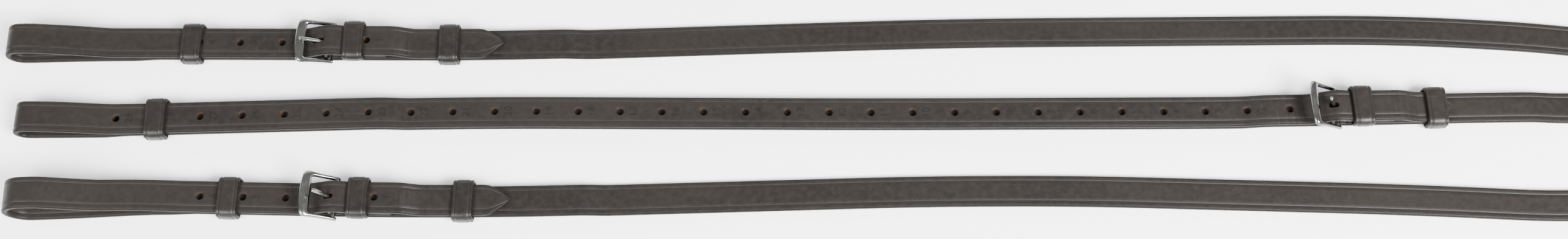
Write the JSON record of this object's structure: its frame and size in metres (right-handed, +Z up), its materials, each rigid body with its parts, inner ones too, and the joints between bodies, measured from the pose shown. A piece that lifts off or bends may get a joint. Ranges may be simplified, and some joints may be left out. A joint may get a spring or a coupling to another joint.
{
  "type": "leather reins",
  "caption": "Leather triangle side reins for lungeing, laid flat: side straps and a long punched centre strap with buckled girth loops, sewn together at a fork.",
  "frame": {"origin": "centre of the reins' outline, on the surface they lie on", "axes": "+X along the straps from the girth loops towards the fork, +Y across them, +Z up"},
  "size_m": [1.33, 0.1347, 0.027],
  "materials": {
    "strap_leather": "satin",
    "keeper_leather": "satin",
    "buckle_steel": "polished",
    "thread": "matte",
    "tie_band": "matte"
  },
  "bodies": {
    "straps": {"top_strap": "strap_leather", "top_chape": "strap_leather", "top_chape_stitching": "thread", "top_fixed_keeper": "keeper_leather", "top_hank_tie": "tie_band", "centre_strap": "strap_leather", "centre_chape": "strap_leather", "centre_chape_stitching": "thread", "centre_fixed_keeper": "keeper_leather", "bottom_strap": "strap_leather", "bottom_chape": "strap_leather", "bottom_chape_stitching": "thread", "bottom_fixed_keeper": "keeper_leather", "bottom_hank_tie": "tie_band", "fork_stitching": "thread"},
    "top_frame": {"top_buckle_frame": "buckle_steel"},
    "top_tongue": {"top_buckle_tongue": "buckle_steel"},
    "top_keeper": {"top_sliding_keeper": "keeper_leather"},
    "top_loop_runner": {"top_loop_runner": "keeper_leather"},
    "centre_frame": {"centre_buckle_frame": "buckle_steel"},
    "centre_tongue": {"centre_buckle_tongue": "buckle_steel"},
    "centre_keeper": {"centre_sliding_keeper": "keeper_leather"},
    "centre_loop_runner": {"centre_loop_runner": "keeper_leather"},
    "bottom_frame": {"bottom_buckle_frame": "buckle_steel"},
    "bottom_tongue": {"bottom_buckle_tongue": "buckle_steel"},
    "bottom_keeper": {"bottom_sliding_keeper": "keeper_leather"},
    "bottom_loop_runner": {"bottom_loop_runner": "keeper_leather"}
  },
  "joints": [
    {"name": "top_frame_swing", "type": "hinge", "parent": "straps", "child": "top_frame", "pos_m": [-0.46843, 0.04723, 0.00885], "axis": [0.0033, 1, 0], "range_deg": [0, 8]},
    {"name": "top_tongue_swing", "type": "hinge", "parent": "top_frame", "child": "top_tongue", "pos_m": [-0.46843, 0.04723, 0.00885], "axis": [0.0033, 1, 0], "range_deg": [0, 8]},
    {"name": "top_keeper_slide", "type": "slide", "parent": "straps", "child": "top_keeper", "axis": [1, 0.0043, 0], "range_m": [-0.008, 0.05]},
    {"name": "top_loop_runner_slide", "type": "slide", "parent": "straps", "child": "top_loop_runner", "axis": [1, -0.0033, 0], "range_m": [-0.012, 0.052]},
    {"name": "centre_frame_swing", "type": "hinge", "parent": "straps", "child": "centre_frame", "pos_m": [0.13947, 0.00457, 0.00885], "axis": [-0.0208, 0.9998, 0], "range_deg": [-20, 6]},
    {"name": "centre_tongue_swing", "type": "hinge", "parent": "straps", "child": "centre_tongue", "pos_m": [0.13947, 0.00457, 0.00885], "axis": [-0.0208, 0.9998, 0], "range_deg": [-6, 10]},
    {"name": "centre_keeper_slide", "type": "slide", "parent": "straps", "child": "centre_keeper", "axis": [0.9997, 0.0229, 0], "range_m": [-0.001, 0.04]},
    {"name": "centre_loop_runner_slide", "type": "slide", "parent": "straps", "child": "centre_loop_runner", "axis": [0.9997, 0.0237, 0], "range_m": [-0.003, 0.115]},
    {"name": "bottom_frame_swing", "type": "hinge", "parent": "straps", "child": "bottom_frame", "pos_m": [-0.45753, -0.05255, 0.00885], "axis": [0.0198, 0.9998, 0], "range_deg": [-20, 6]},
    {"name": "bottom_tongue_swing", "type": "hinge", "parent": "straps", "child": "bottom_tongue", "pos_m": [-0.45753, -0.05255, 0.00885], "axis": [0.0198, 0.9998, 0], "range_deg": [-6, 10]},
    {"name": "bottom_keeper_slide", "type": "slide", "parent": "straps", "child": "bottom_keeper", "axis": [1, 0.0038, 0], "range_m": [-0.012, 0.05]},
    {"name": "bottom_loop_runner_slide", "type": "slide", "parent": "straps", "child": "bottom_loop_runner", "axis": [0.9998, -0.0215, 0], "range_m": [-0.006, 0.034]}
  ]
}
